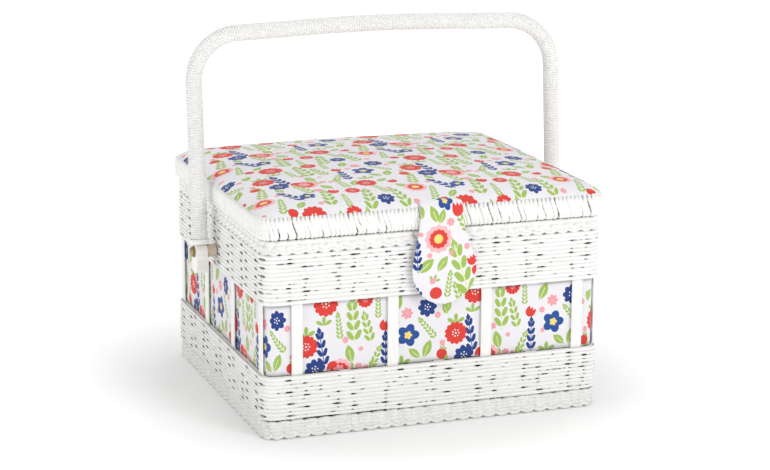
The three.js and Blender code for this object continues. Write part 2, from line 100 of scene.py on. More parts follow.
class Outline:
    """The rounded outline of the basket or lid from above. s runs from the middle of the
    front to the right and all the way round."""

    def __init__(self, low, high, radius):
        self.half_x = (high.x - low.x) / 2
        self.half_y = (high.y - low.y) / 2
        self.radius = radius
        self.flat_x = 2 * (self.half_x - radius)
        self.flat_y = 2 * (self.half_y - radius)
        self.arc = math.pi / 2 * radius
        self.length = 2 * (self.flat_x + self.flat_y + 2 * self.arc)

    def at(self, s):
        """Points and outward directions at distances s."""
        s = np.mod(np.asarray(s, float), self.length)
        point = np.zeros((s.size, 3))
        outward = np.zeros((s.size, 3))
        start = -self.flat_x / 2
        cx, cy, r = self.half_x - self.radius, self.half_y - self.radius, self.radius
        corners = [(cx, -cy), (cx, cy), (-cx, cy), (-cx, -cy)]
        for side in range(4):
            flat = self.flat_x if side % 2 == 0 else self.flat_y
            along = np.array([(1, 0), (0, 1), (-1, 0), (0, -1)][side], float)
            out = np.array([along[1], -along[0]])
            corner = np.array(corners[side], float)
            local = np.mod(s - start, self.length)
            on_flat = local < flat
            reach = local[on_flat, None] - flat
            point[on_flat, :2] = corner + out * r + along * reach
            outward[on_flat, :2] = out
            on_arc = (local >= flat) & (local < flat + self.arc)
            turn = (local[on_arc] - flat) / r
            away = np.cos(turn)[:, None] * out + np.sin(turn)[:, None] * along
            point[on_arc, :2] = corner + away * r
            outward[on_arc, :2] = away
            start += flat + self.arc
        return point, outward

    def side_middle(self, side):
        """Distance s of the middle of the front, right, back or left side."""
        quarter = (self.flat_x + self.flat_y) / 2 + self.arc
        return side * quarter


BODY = Outline(BODY_LOW, BODY_HIGH, CORNER)
LID = Outline(LID_LOW, LID_HIGH, LID_CORNER)


# ---------------- meshes

def linked(name, data):
    """A new object in the scene."""
    obj = bpy.data.objects.new(name, data)
    bpy.context.scene.collection.objects.link(obj)
    return obj


def new_object(name, verts, polygons, uv=None):
    """A mesh object from vertices and a list of equal-sided polygon arrays."""
    mesh = bpy.data.meshes.new(name)
    verts = np.asarray(verts, np.float32)
    mesh.vertices.add(len(verts))
    mesh.vertices.foreach_set("co", verts.ravel())
    polygons = [np.asarray(p, np.int32) for p in polygons if len(p)]
    loops = np.concatenate([p.ravel() for p in polygons])
    sizes = np.concatenate([np.full(len(p), p.shape[1], np.int32) for p in polygons])
    mesh.loops.add(len(loops))
    mesh.loops.foreach_set("vertex_index", loops)
    mesh.polygons.add(len(sizes))
    mesh.polygons.foreach_set("loop_start", np.concatenate([[0], np.cumsum(sizes)[:-1]]))
    mesh.update(calc_edges=True)
    mesh.validate()
    mesh.polygons.foreach_set("use_smooth", np.ones(len(mesh.polygons), bool))
    if uv is not None:
        layer = mesh.uv_layers.new(name="cloth")
        layer.data.foreach_set("uv", np.asarray(uv, np.float32)[loops].ravel())
    return linked(name, mesh)


def place(obj, material, body, slot, *replaced):
    """Give a piece its material and body, and hide the CAD nodes that it stands for. slot is not
    used.
    """
    obj.data.materials.clear()
    obj.data.materials.append(material)
    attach(obj, body)
    if replaced:
        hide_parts(*replaced)


def unit(vectors):
    return vectors / np.linalg.norm(vectors, axis=-1, keepdims=True)


# Reach of a cord's skin round half its outline, as a share of its radius
SECTION = np.array([1, 0.97, 0.88, 0.97])
CORD_SIDES = 2 * len(SECTION)


def tube_faces(count, sides, closed=False):
    """Quads and end caps of a tube made of count rings."""
    index = np.arange(count * sides).reshape(count, sides)
    after = np.roll(index, -1, 0) if closed else index[1:]
    here = index if closed else index[:-1]
    quads = np.stack([here, np.roll(here, -1, 1), np.roll(after, -1, 1), after], -1)
    caps = [] if closed else [index[0][::-1], index[-1]]
    return quads.reshape(-1, 4), np.array(caps).reshape(-1, sides)


def cord_skin(points, side, radius, twist, closed, flat=(1.0, 1.0)):
    """Vertices and faces of a two-ply twisted cord. side points across it at each place.
    flat scales it towards side and at right angles to that, as the cords press together."""
    count = len(points)
    if closed:
        tangent = np.roll(points, -1, 0) - np.roll(points, 1, 0)
        step = np.linalg.norm(np.roll(points, -1, 0) - points, axis=1)
    else:
        tangent = np.gradient(points, axis=0)
        step = np.linalg.norm(np.gradient(points, axis=0), axis=1)
    tangent = unit(tangent)
    side = unit(side - (side * tangent).sum(1)[:, None] * tangent)
    across = np.cross(tangent, side)
    run = np.concatenate([[0], np.cumsum(step)[:-1]])
    turns = run / twist
    if closed:
        turns = run / step.sum() * round(step.sum() / twist)
    angle = 2 * math.pi * (np.arange(CORD_SIDES) / CORD_SIDES + turns[:, None])
    reach = radius * np.tile(SECTION, 2)
    towards, sideways = (np.broadcast_to(f, count)[:, None, None] for f in flat)
    ring = (np.cos(angle)[..., None] * side[:, None] * towards
            + np.sin(angle)[..., None] * across[:, None] * sideways)
    verts = points[:, None] + reach[None, :, None] * ring
    return (verts.reshape(-1, 3), *tube_faces(count, CORD_SIDES, closed))


def joined_cords(name, cords):
    """One object from many (vertices, quads, caps)."""
    offset = 0
    verts, quads, caps = [], [], []
    for v, q, c in cords:
        verts.append(v)
        quads.append(q + offset)
        if len(c):
            caps.append(c + offset)
        offset += len(v)
    polygons = [np.concatenate(quads)]
    if caps:
        polygons.append(np.concatenate(caps))
    return new_object(name, np.concatenate(verts), polygons)


def pad_faces(rows, columns, turned=False):
    """Faces of a closed pad from two grids of points, the upper one first. turned faces the
    other way."""
    index = np.arange(rows * columns).reshape(rows, columns)
    size = rows * columns
    top = np.stack([index[:-1, :-1], index[:-1, 1:], index[1:, 1:], index[1:, :-1]], -1)
    under = np.stack([index[:-1, :-1], index[1:, :-1], index[1:, 1:], index[:-1, 1:]], -1) + size
    border = np.concatenate([index[0, :-1], index[:-1, -1], index[-1, :0:-1], index[:0:-1, 0]])
    following = np.roll(border, -1)
    walls = np.stack([following, border, border + size, following + size], -1)
    faces = np.concatenate([top.reshape(-1, 4), under.reshape(-1, 4), walls])
    return np.roll(faces[:, ::-1], 1, axis=1) if turned else faces


def smoothstep(t):
    t = np.clip(t, 0, 1)
    return t * t * (3 - 2 * t)


def wobble(s, length, size, waves=(3, 7, 13, 29, 47)):
    """Small closed irregularity along a loop, the same each run."""
    total = np.zeros(s.shape)
    for wave in waves:
        phase = rng.uniform(0, 2 * math.pi)
        total += np.sin(2 * math.pi * wave * s / length + phase) / math.sqrt(wave)
    return size * total


# ---------------- node trees

def linear(red, green, blue):
    """An 8-bit colour as linear RGBA."""
    share = [c / 255 for c in (red, green, blue)]
    lin = [c / 12.92 if c <= 0.04045 else ((c + 0.055) / 1.055) ** 2.4 for c in share]
    return (*lin, 1.0)


class Tree:
    """Short calls for building a node tree."""

    def __init__(self, tree):
        self.tree = tree

    def add(self, kind, *inputs, **settings):
        node = self.tree.nodes.new(kind)
        for key, value in settings.items():
            setattr(node, key, value)
        for socket, value in zip(node.inputs, inputs):
            self.feed(socket, value)
        return node

    def feed(self, socket, value):
        if isinstance(value, bpy.types.NodeSocket):
            self.tree.links.new(value, socket)
        elif value is not None:
            socket.default_value = value

    def math(self, operation, a, b=None, c=None):
        return self.add("ShaderNodeMath", a, b, c, operation=operation).outputs[0]

    def times(self, a, b):
        return self.math("MULTIPLY", a, b)

    def less(self, a, b):
        return self.math("LESS_THAN", a, b)

    def more(self, a, b):
        return self.math("GREATER_THAN", a, b)

    def vector(self, operation, *inputs):
        return self.add("ShaderNodeVectorMath", *inputs, operation=operation).outputs[0]

    def mix(self, share, a, b):
        node = self.add("ShaderNodeMix", data_type="RGBA")
        self.feed(node.inputs[0], share)
        self.feed(node.inputs[6], a)
        self.feed(node.inputs[7], b)
        return node.outputs[2]

    def ramp(self, value, low, high, to_low=0.0, to_high=1.0):
        node = self.add("ShaderNodeMapRange", value, low, high, to_low, to_high)
        return node.outputs[0]

    def noise(self, vector, scale, detail=3.0):
        node = self.add("ShaderNodeTexNoise")
        self.feed(node.inputs["Vector"], vector)
        node.inputs["Scale"].default_value = scale
        node.inputs["Detail"].default_value = detail
        return node.outputs["Fac"]


def new_material(name):
    material = bpy.data.materials.new(name)
    material.use_nodes = True
    tree = Tree(material.node_tree)
    shader = material.node_tree.nodes["Principled BSDF"]
    return material, tree, shader


def object_space(tree):
    return tree.add("ShaderNodeTexCoord").outputs["Object"]


def surface(tree, shader, colour, roughness, height, distance, strength):
    """Give a shader its colour, its roughness and its relief."""
    tree.feed(shader.inputs["Base Color"], colour)
    tree.feed(shader.inputs["Roughness"], roughness)
    node = tree.add("ShaderNodeBump")
    node.inputs["Strength"].default_value = strength
    node.inputs["Distance"].default_value = distance
    tree.feed(node.inputs["Height"], height)
    tree.feed(shader.inputs["Normal"], node.outputs["Normal"])


# ---------------- plain materials

def paper_cord_material():
    """White twisted paper: matt, with fine fibres and faint patches of tone."""
    material, tree, shader = new_material("paper_cord")
    point = object_space(tree)
    patches = tree.noise(point, 90.0, 4.0)
    fibres = tree.noise(point, 2600.0, 2.0)
    tone = tree.mix(tree.ramp(patches, 0.3, 0.7), linear(247, 246, 243), linear(253, 253, 252))
    tone = tree.mix(tree.ramp(fibres, 0.62, 0.8, 0.0, 0.35), tone, linear(225, 221, 214))
    roughness = tree.ramp(fibres, 0.2, 0.8, 0.55, 0.8)
    surface(tree, shader, tone, roughness, fibres, 0.12 * MM, 0.6)
    return material


def grained_material(name, stretch, noise, tones, tone_ramp, roughness_ramp, relief):
    """A surface with its grain stretched one way. noise is its scale and detail, relief its
    depth and strength."""
    material, tree, shader = new_material(name)
    grain = tree.noise(tree.vector("MULTIPLY", object_space(tree), stretch), *noise)
    tone = tree.mix(tree.ramp(grain, *tone_ramp), *tones)
    surface(tree, shader, tone, tree.ramp(grain, *roughness_ramp), grain, *relief)
    return material


def cane_material():
    """Flat white-painted cane with long fine grain."""
    return grained_material("flat_cane", (1.0, 1.0, 0.04), (1500.0, 3.0),
                            (linear(252, 252, 251), linear(238, 236, 232)),
                            (0.35, 0.75), (0.3, 0.7, 0.4, 0.6), (0.1 * MM, 0.5))


def wood_material(name, light, dark, roughness):
    """Wood or board with its grain along the front."""
    return grained_material(name, (0.15, 1.0, 1.0), (400.0, 4.0), (light, dark), (0.35, 0.7),
                            (0.3, 0.7, roughness, roughness + 0.15), (0.1 * MM, 0.4))


def metal_material(name, colour, roughness):
    """Plated metal with fine scratches and a little tarnish."""
    material = grained_material(name, (1, 1, 8), (900.0, 3.0), (colour, linear(120, 100, 80)),
                                (0.4, 0.75, 0, 0.3), (0.2, 0.8, roughness, roughness + 0.2),
                                (0.02 * MM, 0.4))
    shader = material.node_tree.nodes["Principled BSDF"]
    shader.inputs["Metallic"].default_value = 1.0
    return material


def plastic_material(name, colour, roughness):
    """Moulded plastic, slightly cloudy."""
    material, tree, shader = new_material(name)
    cloudy = tree.noise(object_space(tree), 300.0, 3.0)
    darker = tuple(c * 0.93 for c in colour[:3]) + (1.0,)
    surface(tree, shader, tree.mix(tree.ramp(cloudy, 0.3, 0.7), colour, darker),
            tree.ramp(cloudy, 0.2, 0.8, roughness, roughness + 0.1),
            tree.noise(object_space(tree), 1800.0, 1.0), 0.02 * MM, 0.3)
    return material


def thread_weave(tree, across, along, pitch):
    """Height of a plain weave from two distances along the cloth, in millimetres."""
    warp = tree.math("SINE", tree.times(across, 2 * math.pi / pitch))
    weft = tree.math("SINE", tree.times(along, 2 * math.pi / pitch))
    return tree.times(warp, weft)


def cotton_material(name, painted_shade_outside):
    """Plain off-white cotton. On the lining, the side towards the cords is dark brown card,
    darkened as painted shade so that the slits in the weave look dark.
    """
    material, tree, shader = new_material(name)
    millimetres = tree.vector("MULTIPLY", object_space(tree), (1000.0, 1000.0, 1000.0))
    split = tree.add("ShaderNodeSeparateXYZ", millimetres)
    along = tree.math("ADD", split.outputs[0], split.outputs[1])
    height = thread_weave(tree, along, tree.math("ADD", split.outputs[2], split.outputs[1]), 0.7)
    tone = tree.noise(object_space(tree), 60.0)
    colour = tree.mix(tree.ramp(tone, 0.3, 0.7), linear(240, 236, 230), linear(248, 246, 242))
    # painted shade: the lining's outer faces are dark brown, so the view through the slits
    # between the cords is dark
    if painted_shade_outside:
        geometry = tree.add("ShaderNodeNewGeometry").outputs
        level = tree.vector("MULTIPLY", geometry["Normal"], (1.0, 1.0, 0.0))
        facing = tree.add("ShaderNodeVectorMath", level, geometry["Position"],
                          operation="DOT_PRODUCT").outputs["Value"]
        outside = tree.more(facing, 0.05)
        colour = tree.mix(outside, colour, linear(70, 54, 40))
    surface(tree, shader, colour, 0.9, height, 0.08 * MM, 0.5)
    return material


# ---------------- the printed cotton

REPEAT = (139.0, 130.0)
GROUND = linear(240, 238, 242)
RED = linear(226, 54, 40)
BLUE = linear(8, 74, 154)
NAVY = linear(6, 56, 134)
GREEN = linear(160, 193, 84)
PALE_GREEN = linear(226, 236, 180)
PINK = linear(243, 160, 168)
LIGHT_PINK = linear(250, 188, 192)
YELLOW = linear(250, 222, 120)
WHITE = linear(250, 248, 246)


def motif_group(name):
    """A node group that stamps one motif on a colour. Its local point is in motif sizes."""
    group = bpy.data.node_groups.new(name, "ShaderNodeTree")
    for label, kind in [("Colour", "Color"), ("Point", "Vector"), ("Centre", "Vector"),
                        ("Size", "Float"), ("Turn", "Float")]:
        group.interface.new_socket(name=label, in_out="INPUT", socket_type="NodeSocket" + kind)
    group.interface.new_socket(name="Colour", in_out="OUTPUT", socket_type="NodeSocketColor")
    tree = Tree(group)
    source = group.nodes.new("NodeGroupInput").outputs
    offset = tree.vector("SUBTRACT", source["Point"], source["Centre"])
    half = (REPEAT[0] / 2, REPEAT[1] / 2, 1.0)
    near = tree.vector("WRAP", offset, half, tuple(-h for h in half))
    turned = tree.add("ShaderNodeVectorRotate", rotation_type="Z_AXIS")
    tree.feed(turned.inputs["Vector"], near)
    tree.feed(turned.inputs["Angle"], tree.times(source["Turn"], -1.0))
    split = tree.add("ShaderNodeSeparateXYZ", turned.outputs[0])
    x = tree.math("DIVIDE", split.outputs[0], source["Size"])
    y = tree.math("DIVIDE", split.outputs[1], source["Size"])
    return group, tree, source["Colour"], x, y


def close_group(group, tree, colour):
    tree.feed(group.nodes.new("NodeGroupOutput").inputs[0], colour)
    return group


def polar(tree, x, y):
    squares = tree.math("ADD", tree.times(x, x), tree.times(y, y))
    return tree.math("SQRT", squares), tree.math("ARCTAN2", y, x)


def flower_group(name, petals, notch, rings, dots=0, dot_colour=WHITE):
    """A scalloped flower of coloured rings, with a spray of dots at its heart."""
    group, tree, colour, x, y = motif_group(name)
    radius, angle = polar(tree, x, y)
    lobe = tree.math("ABSOLUTE", tree.math("COSINE", tree.times(angle, petals / 2)))
    edge = tree.math("MULTIPLY_ADD", lobe, notch, 1 - notch)
    for share, ring_colour in rings:
        inside = tree.less(radius, tree.times(edge, share))
        colour = tree.mix(inside, colour, ring_colour)
    if dots:
        beat = tree.math("COSINE", tree.times(angle, dots))
        ring = tree.math("COMPARE", radius, 0.28, 0.06)
        colour = tree.mix(tree.times(ring, tree.more(beat, 0.3)), colour, dot_colour)
        colour = tree.mix(tree.less(radius, 0.08), colour, dot_colour)
    return close_group(group, tree, colour)


def leaf_group(name, leaf_colour, vein_colour):
    """One leaf, standing up, a unit long and with a pale midrib."""
    group, tree, colour, x, y = motif_group(name)
    squared = tree.times(tree.times(y, y), 4.0)
    breadth = tree.times(tree.math("SUBTRACT", 1.0, squared), 0.24)
    across = tree.math("ABSOLUTE", x)
    inside = tree.less(across, breadth)
    colour = tree.mix(inside, colour, leaf_colour)
    rib = tree.times(tree.less(across, 0.022), tree.less(y, 0.2))
    rib = tree.times(rib, tree.more(y, -0.62))
    colour = tree.mix(rib, colour, vein_colour)
    return close_group(group, tree, colour)


def sprig_group(name, pairs, breadth, leaf_colour, stem_colour):
    """A stem a unit long with pairs of slanting leaves and one at its tip."""
    group, tree, colour, x, y = motif_group(name)
    along = tree.math("ADD", y, 0.5)
    across = tree.math("ABSOLUTE", x)
    reach = tree.math("MULTIPLY_ADD", along, -0.45 * breadth, breadth)
    share = tree.math("DIVIDE", across, tree.math("MAXIMUM", reach, 0.01))
    slant = tree.math("MULTIPLY_ADD", across, -0.9, along)
    steps = tree.times(slant, pairs / 0.86)
    wave = tree.math("ABSOLUTE", tree.math("SUBTRACT", tree.math("FRACT", steps), 0.5))
    belly = tree.math("SINE", tree.times(tree.math("MINIMUM", share, 1.0), math.pi))
    thick = tree.times(tree.math("POWER", belly, 0.7), 0.4)
    inside = tree.less(wave, thick)
    inside = tree.times(inside, tree.less(share, 1.0))
    inside = tree.times(inside, tree.more(slant, 0.0))
    inside = tree.times(inside, tree.less(slant, 0.86))
    tip = tree.math("ABSOLUTE", tree.math("SUBTRACT", along, 0.92))
    tip_edge = tree.times(tree.math("SUBTRACT", 0.11, tip), 0.55)
    inside = tree.math("MAXIMUM", inside, tree.less(across, tip_edge))
    stem = tree.times(tree.less(across, 0.012), tree.math("COMPARE", y, -0.04, 0.46))
    colour = tree.mix(inside, colour, leaf_colour)
    colour = tree.mix(stem, colour, stem_colour)
    return close_group(group, tree, colour)


def fan_group(name, leaf_colour):
    """Three pointed leaves that spread upwards from one place."""
    group, tree, colour, x, y = motif_group(name)
    radius, angle = polar(tree, x, y)
    from_up = tree.math("SUBTRACT", angle, math.pi / 2)
    lobe = tree.math("ABSOLUTE", tree.math("COSINE", tree.times(from_up, 3.0)))
    inside = tree.less(radius, tree.math("POWER", lobe, 0.8))
    upper = tree.math("COMPARE", from_up, 0.0, 1.5)
    colour = tree.mix(tree.times(inside, upper), colour, leaf_colour)
    return close_group(group, tree, colour)


def bud_group(name, bud_colour):
    """A round bud with a toothed crown."""
    group, tree, colour, x, y = motif_group(name)
    radius, _ = polar(tree, x, y)
    low = tree.times(tree.less(radius, 1.0), tree.less(y, 0.1))
    tooth = tree.math("PINGPONG", tree.math("ADD", x, 1.0), 0.33)
    crown = tree.math("MULTIPLY_ADD", tooth, 1.6, 0.45)
    high = tree.times(tree.less(y, crown), tree.more(y, 0.0))
    high = tree.times(high, tree.less(tree.math("ABSOLUTE", x), 0.98))
    colour = tree.mix(tree.math("MAXIMUM", low, high), colour, bud_colour)
    return close_group(group, tree, colour)


def motif_groups():
    """The node groups of all the motifs, by name."""
    groups = [
        flower_group("red_flower", 13, 0.14, [(1, RED)], dots=7),
        flower_group("blue_star", 5, 0.34, [(1, BLUE), (0.36, YELLOW)]),
        flower_group("blue_flower", 8, 0.24, [(1, NAVY)], dots=5),
        flower_group("round_flower", 12, 0.12, [(1.25, LIGHT_PINK), (0.86, RED), (0.42, YELLOW)]),
        flower_group("pink_flower", 7, 0.36, [(1, PINK), (0.25, LIGHT_PINK)]),
        flower_group("berry", 2, 0.04, [(1, RED)]),
        leaf_group("leaf", GREEN, PALE_GREEN),
        sprig_group("sprig", 4, 0.19, GREEN, PALE_GREEN),
        sprig_group("fine_sprig", 6, 0.15, GREEN, PALE_GREEN),
        sprig_group("blue_sprig", 4, 0.17, NAVY, BLUE),
        fan_group("fan", GREEN),
        bud_group("bud", RED),
    ]
    return {group.name: group for group in groups}


def small_flowers(*spots):
    """Pink flowers at places (across, up, size)."""
    return [("pink_flower", *spot, 0) for spot in spots]


# The print's motifs: kind, place across and up the cloth, size (mm) and turn (degrees)
MOTIFS = [
    ("sprig", 63, 101, 42, 4), ("fine_sprig", 50, 97, 26, 6), ("fine_sprig", 86, 112, 24, 0),
    ("sprig", 76, 94, 30, 14), ("sprig", 84, 66, 24, -24), ("fine_sprig", -7, 88, 27, 40),
    ("leaf", 60, 71, 17, 12), ("leaf", -35, 112, 17, -24), ("leaf", -7, 69, 17, -22),
    ("leaf", -19, 66, 14, 50), ("leaf", 12, 105, 13, -30), ("leaf", 10, 104, 11, 25),
    ("fan", 20, 90, 9, 0), ("fan", 36, 99, 8, 0), ("fan", -31, 56, 9, 0), ("fan", 62, 55, 8, 0),
    ("blue_sprig", 34, 79, 37, 9), ("blue_sprig", -46, 73, 32, 0),
    ("red_flower", 20, 81, 10.5, 0), ("blue_star", -25, 83, 10.5, 0),
    ("blue_flower", -7, 107, 9, 0), ("blue_flower", 28, 60, 9.5, 10),
    ("round_flower", 51, 56, 9.5, 0), ("red_flower", 38, 118, 11.5, 20),
    ("red_flower", 74, 119, 7.5, 0), ("bud", -47, 94, 4.8, -30), ("berry", 7, 63, 5, 0),
    ("fan", 8, 67, 4, -15), ("bud", 44, 61, 5, 160),
    *small_flowers((-26, 103, 5.5), (56, 84, 3.2), (3, 99, 3.2), (-36, 95, 3), (70, 75, 2.4),
                   (7.5, 73, 3), (-35, 76, 2.4), (68, 59, 3.6)),
    ("sprig", -46, 138, 38, -6), ("sprig", -18, 136, 34, 12), ("fine_sprig", 14, 137, 30, -10),
    ("sprig", 58, 145, 38, -4), ("fine_sprig", 82, 178, 30, 8), ("sprig", 8, 176, 32, -14),
    ("fine_sprig", -30, 156, 26, 20), ("sprig", 45, 172, 30, 20), ("fine_sprig", 72, 136, 24, 0),
    ("leaf", -8, 158, 15, 40), ("leaf", 30, 133, 14, -40), ("leaf", 66, 172, 16, 30),
    ("leaf", -46, 176, 16, -20), ("leaf", 24, 176, 13, 20), ("leaf", -20, 178, 13, -50),
    ("red_flower", -36, 173, 9.5, 0), ("round_flower", 2, 151, 8.5, 0),
    ("blue_sprig", 28, 156, 34, 30), ("bud", 67, 157, 5, -20), ("blue_flower", -32, 133, 8, 0),
    ("blue_star", 42, 152, 7.5, 20), ("berry", 20, 124, 4.5, 0), ("bud", -12, 172, 4.6, 20),
    ("red_flower", 84, 155, 7, 0),
    *small_flowers((50, 187, 5.5), (-6, 126, 3.2), (48, 133, 3), (18, 163, 3.2), (75, 187, 3),
                   (-22, 154, 3), (56, 165, 4.5)),
]


# The tab is cut from another part of the cloth: x across and z up from the ground
TAB_MOTIFS = [
    ("sprig", 22, 143, 56, 18), ("fine_sprig", 10, 130, 26, -8), ("sprig", 19, 121, 24, 20),
    ("leaf", -11, 148, 18, -48), ("leaf", 4, 149, 16, -35), ("leaf", -16, 196, 13, 8),
    ("sprig", 22, 186, 26, 34), ("leaf", -4, 193, 15, 24), ("leaf", 3, 191, 13, -18),
    ("sprig", 4, 214, 26, -8), ("leaf", 20, 208, 14, 40), ("leaf", -14, 214, 13, -30),
    ("blue_sprig", -19, 157, 30, 2), ("blue_sprig", -21, 128, 22, 36),
    ("round_flower", 0, 171.5, 10.2, 0), ("blue_star", 7, 203, 7.5, 0), ("bud", 18, 196, 5.4, 0),
    ("berry", -2, 123, 5.6, 0), ("fan", -4, 134, 6, -20), ("bud", 32, 150, 4.6, 25),
    ("bud", 36, 141, 4.2, 200),
    *small_flowers((11, 186, 4), (-8, 157, 2.6), (27, 163, 3.2), (-5, 134, 3.2),
                   (12, 158, 2.4), (-16, 176, 2.4)),
]


def printed_cotton_material(name, groups, motifs):
    """Pale cotton printed with flowers and leaves, placed by the cloth's own UV map."""
    material, tree, shader = new_material(name)
    point = tree.add("ShaderNodeUVMap", uv_map="cloth").outputs["UV"]
    colour = GROUND
    for kind, x, y, size, turn in motifs:
        stamp = tree.add("ShaderNodeGroup", node_tree=groups[kind])
        tree.feed(stamp.inputs["Colour"], colour)
        tree.feed(stamp.inputs["Point"], point)
        stamp.inputs["Centre"].default_value = (x, y, 0)
        stamp.inputs["Size"].default_value = size
        stamp.inputs["Turn"].default_value = math.radians(turn)
        colour = stamp.outputs["Colour"]
    split = tree.add("ShaderNodeSeparateXYZ", point)
    threads = thread_weave(tree, split.outputs[0], split.outputs[1], 0.55)
    shade = tree.ramp(threads, -1.0, 1.0, 0.0, 0.04)
    shader.inputs["Sheen Weight"].default_value = 0.15
    surface(tree, shader, tree.mix(shade, colour, linear(205, 200, 205)), 0.85,
            threads, 0.06 * MM, 0.5)
    return material


PAPER = paper_cord_material()
CANE = cane_material()
GROUPS = motif_groups()
PRINT = printed_cotton_material("printed_cotton", GROUPS, MOTIFS)
TAB_PRINT = printed_cotton_material("printed_cotton_tab", GROUPS, TAB_MOTIFS)
COTTON = cotton_material("plain_cotton", False)
LINING = cotton_material("lining_cotton", True)
# The lid frame's brown is wood colour, made darker as painted shade so the gaps in the rim wrap
# look dark.
BARE_WOOD_AND_SHADE = wood_material("bare_wood_and_shade", linear(122, 92, 66), linear(84, 60, 42), 0.7)
BOARD = wood_material("fibre_board", linear(176, 146, 108), linear(140, 108, 74), 0.75)
WHITE_WOOD = wood_material("white_wood", linear(250, 249, 246), linear(236, 233, 226), 0.4)
BRASS = metal_material("brass", linear(176, 158, 112), 0.35)
STEEL = metal_material("steel", linear(210, 205, 196), 0.25)
CREAM = plastic_material("spacer_plastic", linear(216, 200, 176), 0.4)
TRAY = plastic_material("tray_plastic", linear(240, 242, 244), 0.25)


# ---------------- woven walls

def stake_distances():
    """Distance s of all 28 stakes round the basket, in order."""
    places = []
    for side in range(4):
        pitch = FRONT_PITCH if side % 2 == 0 else SIDE_PITCH
        middle = BODY.side_middle(side) + (FRONT_SHIFT if side == 0 else 0)
        places.extend(middle + (i - 3) * pitch for i in range(7))
    return np.array(places)


STAKES = stake_distances()
STAKES_PER_SIDE = len(STAKES) // 4
WALL_STEPS = 1440
ROWS_PER_PIECE = 4
ROW_DEPTH = 1.5 * MM
ROW_FLATNESS = 0.5
ROW_OVERLAP = 0.6 * MM
STAKE_IN = 4.4 * MM
STAKE_AT_BAND = 3.3 * MM

# Slits between rows: height and reach in mm, and the share of them that shows
SMALL_SLIT = ((0.3, 0.7), (0.8, 1.6), 0.45)
FRONT_SLIT = ((0.7, 1.2), (2.2, 4.2), 0.85)
SIDE_SLIT = ((1.3, 2.0), (3.4, 4.6), 0.92)
FRONT_SLIT_ROWS = 3
SIDE_SLIT_ROWS = 2
STRAY_SLITS = 30


def all_round(count):
    """Evenly spaced distances s round the basket."""
    return np.arange(count) / count * BODY.length


def along_from(s, stake):
    """Signed distance along the wall from a stake."""
    half = BODY.length / 2
    return np.mod(s - stake + half, BODY.length) - half


def drawn_slit(kind):
    """Height, reach and whether it shows, drawn at random for one kind of slit."""
    heights, reaches, share = kind
    return rng.uniform(*heights) * MM, rng.uniform(*reaches) * MM, rng.random() < share


def slits(s, boundary):
    """How far each of two rows draws back from the other. Slits open beside the stakes, where
    a cord dips behind: wide ones at every third row in front, every second on the sides."""
    back = np.zeros(s.shape)
    for number, stake in enumerate(STAKES):
        on_side_wall = (number // STAKES_PER_SIDE) % 2 == 1
        for edge in (-1, 1):
            height, reach, shown = drawn_slit(SMALL_SLIT)
            turn = boundary + number + (edge > 0)
            if not on_side_wall and turn % FRONT_SLIT_ROWS == 0:
                height, reach, shown = drawn_slit(FRONT_SLIT)
            if on_side_wall:
                height = rng.uniform(*SIDE_SLIT[0]) * MM
                reach = rng.uniform(*SIDE_SLIT[1]) * MM
                shown = turn % SIDE_SLIT_ROWS == 0 and rng.random() < SIDE_SLIT[2]
            if shown:
                middle = stake + edge * rng.uniform(5.5, 8.5) * MM
                shape = np.exp(-(along_from(s, middle) / reach) ** 4)
                back = np.maximum(back, (height + ROW_OVERLAP) / 2 * shape)
    for middle in rng.uniform(0, BODY.length, STRAY_SLITS):
        shape = np.exp(-(along_from(s, middle) / (rng.uniform(1.0, 2.6) * MM)) ** 4)
        back = np.maximum(back, (rng.uniform(0.1, 0.6) * MM + ROW_OVERLAP) / 2 * shape)
    return back


def woven_row(z, pitch, back_below, back_above):
    """One cord of a wall, drawn back from the rows below and above by the given amounts."""
    s = all_round(WALL_STEPS)
    point, outward = BODY.at(s)
    point = point - outward * (ROW_DEPTH + wobble(s, BODY.length, 0.1 * MM))[:, None]
    point[:, 2] = z + (back_below - back_above) / 2 + wobble(s, BODY.length, 0.05 * MM)
    half_height = (pitch + ROW_OVERLAP) / 2 - (back_below + back_above) / 2
    twist = CORD_TWIST * rng.uniform(0.93, 1.07)
    return cord_skin(point, outward, CORD, twist, True, flat=(ROW_FLATNESS, half_height / CORD))


def woven_wall(name, low, high, rows, bottom, node):
    """Rows of cord from low to high, in pieces of three or four rows."""
    s = all_round(WALL_STEPS)
    pitch = (high - low) / rows
    back_below = bottom(s)
    cords = []
    for row in range(rows):
        back_above = slits(s, row) if row < rows - 1 else np.zeros_like(s)
        cords.append(woven_row(low + pitch * (row + 0.5), pitch, back_below, back_above))
        back_below = back_above
    for number, first in enumerate(range(0, rows, ROWS_PER_PIECE)):
        course = cords[first:first + ROWS_PER_PIECE]
        piece = joined_cords(f"{name}_course_{number + 1}", course)
        place(piece, PAPER, "basket", "paper_cord", *([node] if number == 0 else []))


def foot_slit(s):
    """How far the lowest row stands back from the foot plait, unevenly."""
    uneven = wobble(s, BODY.length, 0.7 * MM, waves=(4, 9, 14, 23))
    return np.clip(0.3 * MM + uneven, 0, 1.3 * MM)


def backing_rows(name, heights, depth):
    """Plain cords on the inner side of the stakes, which close the view into the wall."""
    s = all_round(400)
    cords = []
    for z in heights:
        point, outward = BODY.at(s)
        point = point - outward * depth
        point[:, 2] = z
        cords.append(cord_skin(point, outward, CORD, CORD_TWIST * 3, True))
    place(joined_cords(name, cords), PAPER, "basket", "paper_cord")


